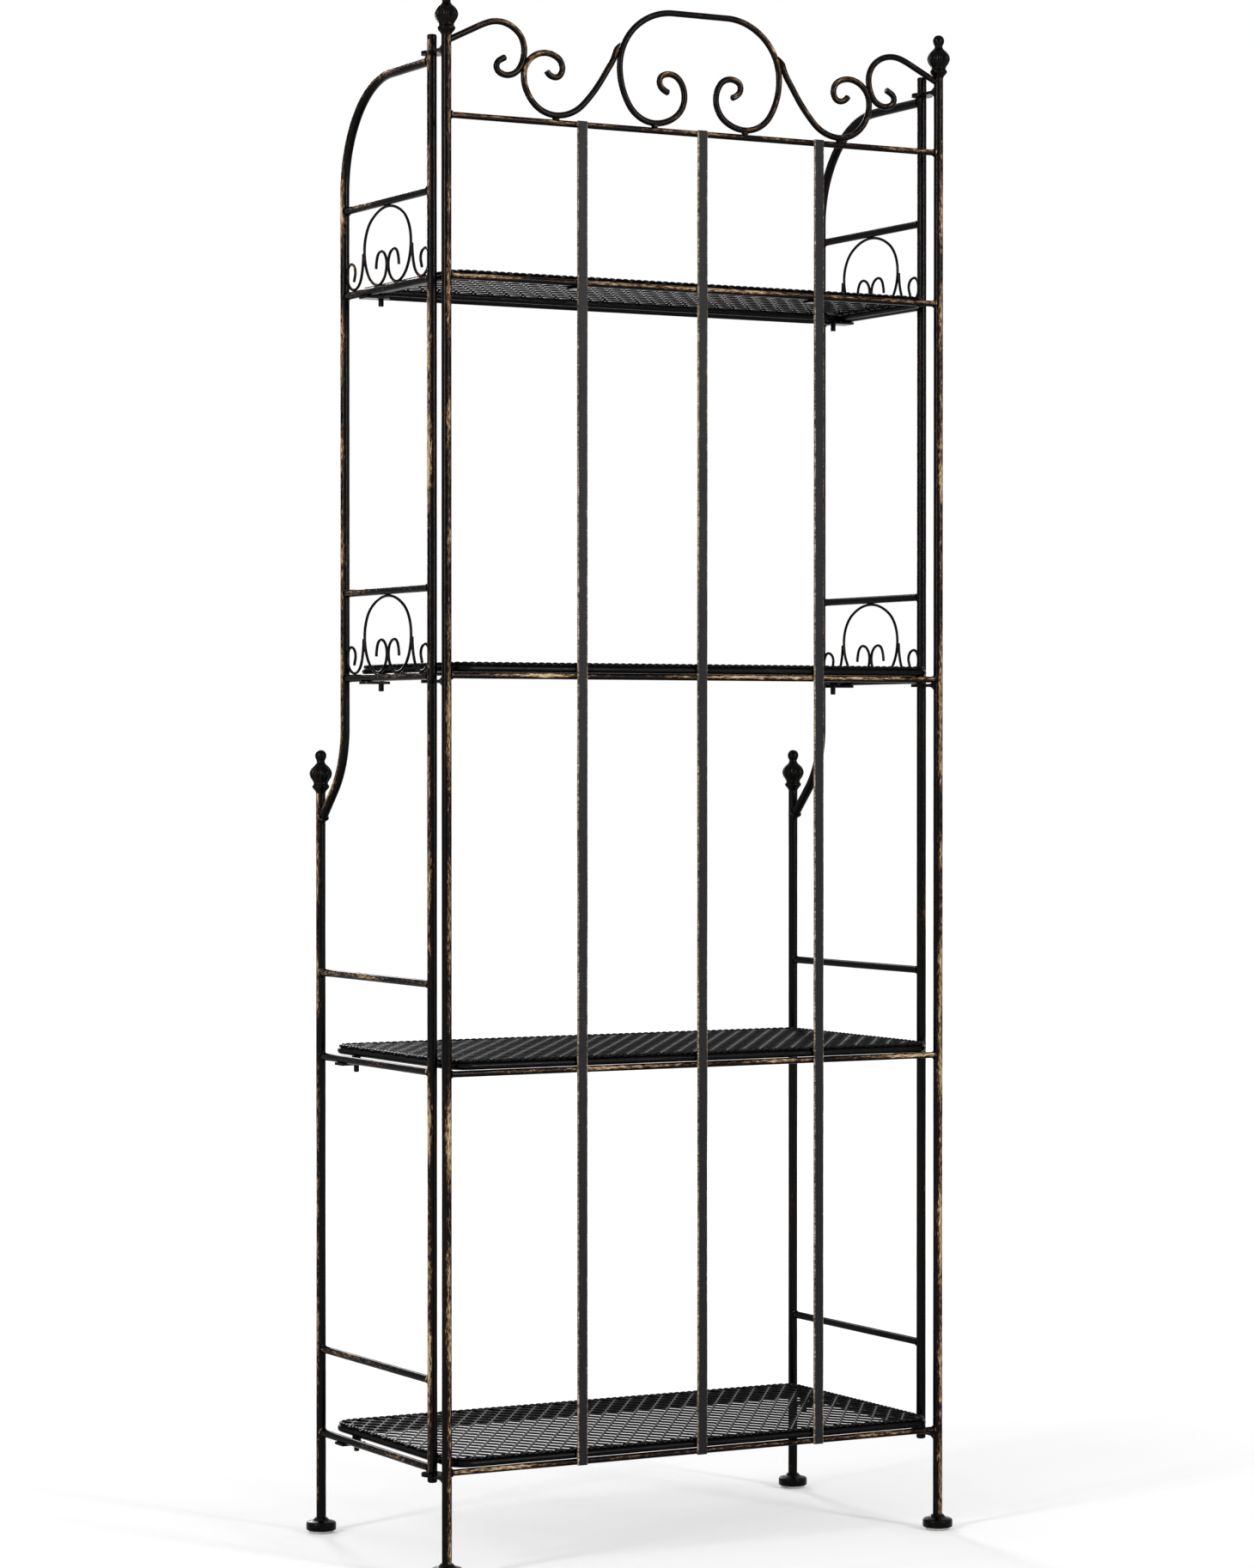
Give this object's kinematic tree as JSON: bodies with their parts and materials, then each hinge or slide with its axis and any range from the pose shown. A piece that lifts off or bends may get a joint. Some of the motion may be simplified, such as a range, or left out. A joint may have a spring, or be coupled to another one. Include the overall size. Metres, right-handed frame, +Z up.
{
  "type": "bakers rack",
  "caption": "Tall folding bakers rack of antiqued black steel rod: scrolled crest, flat back bars, hinged side panels with ball finials, and lift-out shelves of expanded mesh.",
  "frame": {"origin": "on the floor under the middle of the feet", "axes": "+Z up, front faces -Y, back panel at +Y, +X to the right of someone in front of the rack"},
  "size_m": [0.658, 0.354, 1.7002],
  "materials": {
    "frame": "black powder coat brushed by hand with bronze and gold",
    "flat_bar": "satin charcoal black powder coat",
    "shelf_frame": "semi-gloss black powder coat",
    "shelf_mesh": "semi-gloss black powder coat on expanded metal",
    "foot": "moulded, matt",
    "glide": "pale glide pad"
  },
  "bodies": {
    "back_panel": {"back_bar_centre": "flat_bar", "back_bar_left": "flat_bar", "back_bar_right": "flat_bar", "back_finial_left": "frame", "back_finial_right": "frame", "back_foot_left": "foot", "back_foot_right": "foot", "back_glides": "glide", "back_post_left": "frame", "back_post_right": "frame", "back_shelf_rail_1": "frame", "back_shelf_rail_2": "frame", "back_shelf_rail_3": "frame", "back_shelf_rail_4": "frame", "back_shelf_rests": "frame", "back_top_rail": "frame", "crest_arch": "frame", "crest_end_scroll_left": "frame", "crest_end_scroll_right": "frame", "crest_scroll_left": "frame", "crest_scroll_right": "frame", "crest_standoffs": "frame", "hinge_lugs_left": "frame", "hinge_lugs_right": "frame"},
    "side_left": {"side_left_front_finial": "frame", "side_left_front_foot": "foot", "side_left_front_glide": "glide", "side_left_front_post": "frame", "side_left_guard_rails": "frame", "side_left_ornament_3": "frame", "side_left_ornament_4": "frame", "side_left_rear_cap": "frame", "side_left_rear_post": "frame", "side_left_shelf_rails": "frame", "side_left_shelf_tabs": "frame", "side_left_stile": "frame"},
    "side_right": {"side_right_front_finial": "frame", "side_right_front_foot": "foot", "side_right_front_glide": "glide", "side_right_front_post": "frame", "side_right_guard_rails": "frame", "side_right_ornament_3": "frame", "side_right_ornament_4": "frame", "side_right_rear_cap": "frame", "side_right_rear_post": "frame", "side_right_shelf_rails": "frame", "side_right_shelf_tabs": "frame", "side_right_stile": "frame"},
    "shelf_1": {"shelf_1_frame": "shelf_frame", "shelf_1_mesh": "shelf_mesh", "shelf_1_peg_bar": "shelf_frame"},
    "shelf_2": {"shelf_2_frame": "shelf_frame", "shelf_2_mesh": "shelf_mesh", "shelf_2_peg_bar": "shelf_frame"},
    "shelf_3": {"shelf_3_frame": "shelf_frame", "shelf_3_mesh": "shelf_mesh", "shelf_3_peg_bar": "shelf_frame"},
    "shelf_4": {"shelf_4_frame": "shelf_frame", "shelf_4_mesh": "shelf_mesh", "shelf_4_peg_bar": "shelf_frame"}
  },
  "joints": [
    {"name": "side_left_hinge", "type": "hinge", "parent": "back_panel", "child": "side_left", "pos_m": [-0.312, 0.125, 0.8], "axis": [0, 0, -1], "range_deg": [0, 90]},
    {"name": "side_right_hinge", "type": "hinge", "parent": "back_panel", "child": "side_right", "pos_m": [0.312, 0.125, 0.8], "axis": [0, 0, 1], "range_deg": [0, 90]},
    {"name": "shelf_1_lift", "type": "slide", "parent": "back_panel", "child": "shelf_1", "axis": [0, 0, 1], "range_m": [0, 0.04]},
    {"name": "shelf_2_lift", "type": "slide", "parent": "back_panel", "child": "shelf_2", "axis": [0, 0, 1], "range_m": [0, 0.04]},
    {"name": "shelf_3_lift", "type": "slide", "parent": "back_panel", "child": "shelf_3", "axis": [0, 0, 1], "range_m": [0, 0.04]},
    {"name": "shelf_4_lift", "type": "slide", "parent": "back_panel", "child": "shelf_4", "axis": [0, 0, 1], "range_m": [0, 0.04]}
  ]
}
